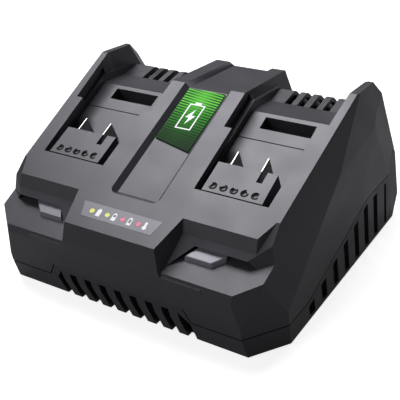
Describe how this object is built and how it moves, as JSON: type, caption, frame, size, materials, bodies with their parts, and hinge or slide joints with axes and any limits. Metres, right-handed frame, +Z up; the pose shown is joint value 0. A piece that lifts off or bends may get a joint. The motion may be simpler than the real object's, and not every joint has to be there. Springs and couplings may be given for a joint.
{
  "type": "power tool battery charger",
  "caption": "Twin bay desktop charger for slide-on power tool battery packs, sloping deck with contact blocks, latch windows and status lights, fan cooled",
  "frame": {"origin": "middle of the case's footprint, on the table under the rubber feet", "axes": "+X to the right seen from the front, +Y to the back, +Z up; the deck faces up and to the front (-Y)"},
  "size_m": [0.1916, 0.2255, 0.118],
  "materials": {
    "upper_shell": "fine moulded texture",
    "lower_shell": "fine moulded texture",
    "bay_panel": "fine moulded texture",
    "contact_metal": "nickel plated, stamped",
    "signal_metal": "gold flashed",
    "lens_plastic": "frosted translucent",
    "legend_film": "satin printed film",
    "green_lens": "clear tinted",
    "red_lens": "clear tinted",
    "badge_print": "printed film",
    "circuit_board": "solder mask",
    "led_body": "moulded",
    "zinc_steel": "zinc plated",
    "ferrite": "sintered",
    "copper_wire": "enamelled winding",
    "capacitor_sleeve": "shrink sleeve",
    "heat_sink_metal": "extruded",
    "package_plastic": "moulded",
    "fuse_ceramic": "glazed",
    "fan_plastic": "moulded",
    "black_rubber": "matte"
  },
  "bodies": {
    "case": {"upper_case": "upper_shell", "lower_case": "lower_shell", "left_bay_floor": "bay_panel", "right_bay_floor": "bay_panel", "left_latch_panel": "bay_panel", "right_latch_panel": "bay_panel", "left_terminal_block": "bay_panel", "right_terminal_block": "bay_panel", "left_power_blades": "contact_metal", "right_power_blades": "contact_metal", "left_signal_pins": "signal_metal", "right_signal_pins": "signal_metal", "left_guide_lens": "lens_plastic", "right_guide_lens": "lens_plastic", "status_legend": "legend_film", "status_lenses_green": "green_lens", "status_lenses_red": "red_lens", "badge_plate": "badge_print", "status_board": "circuit_board", "status_leds": "led_body", "status_screws": "zinc_steel", "main_board": "circuit_board", "board_screws": "zinc_steel", "transformer_core": "ferrite", "transformer_winding": "copper_wire", "bulk_capacitors": "capacitor_sleeve", "filter_choke": "copper_wire", "heat_sink": "heat_sink_metal", "power_transistors": "package_plastic", "fuse": "fuse_ceramic", "fan_frame": "fan_plastic", "cord_inlet_bush": "black_rubber", "rubber_feet": "black_rubber", "case_screws": "zinc_steel"},
    "fan_rotor": {"fan_rotor": "fan_plastic"}
  },
  "joints": [
    {"name": "fan_spin", "type": "hinge", "parent": "case", "child": "fan_rotor", "pos_m": [0, 0.06, 0.0334], "axis": [0, -1, 0], "continuous": true}
  ]
}
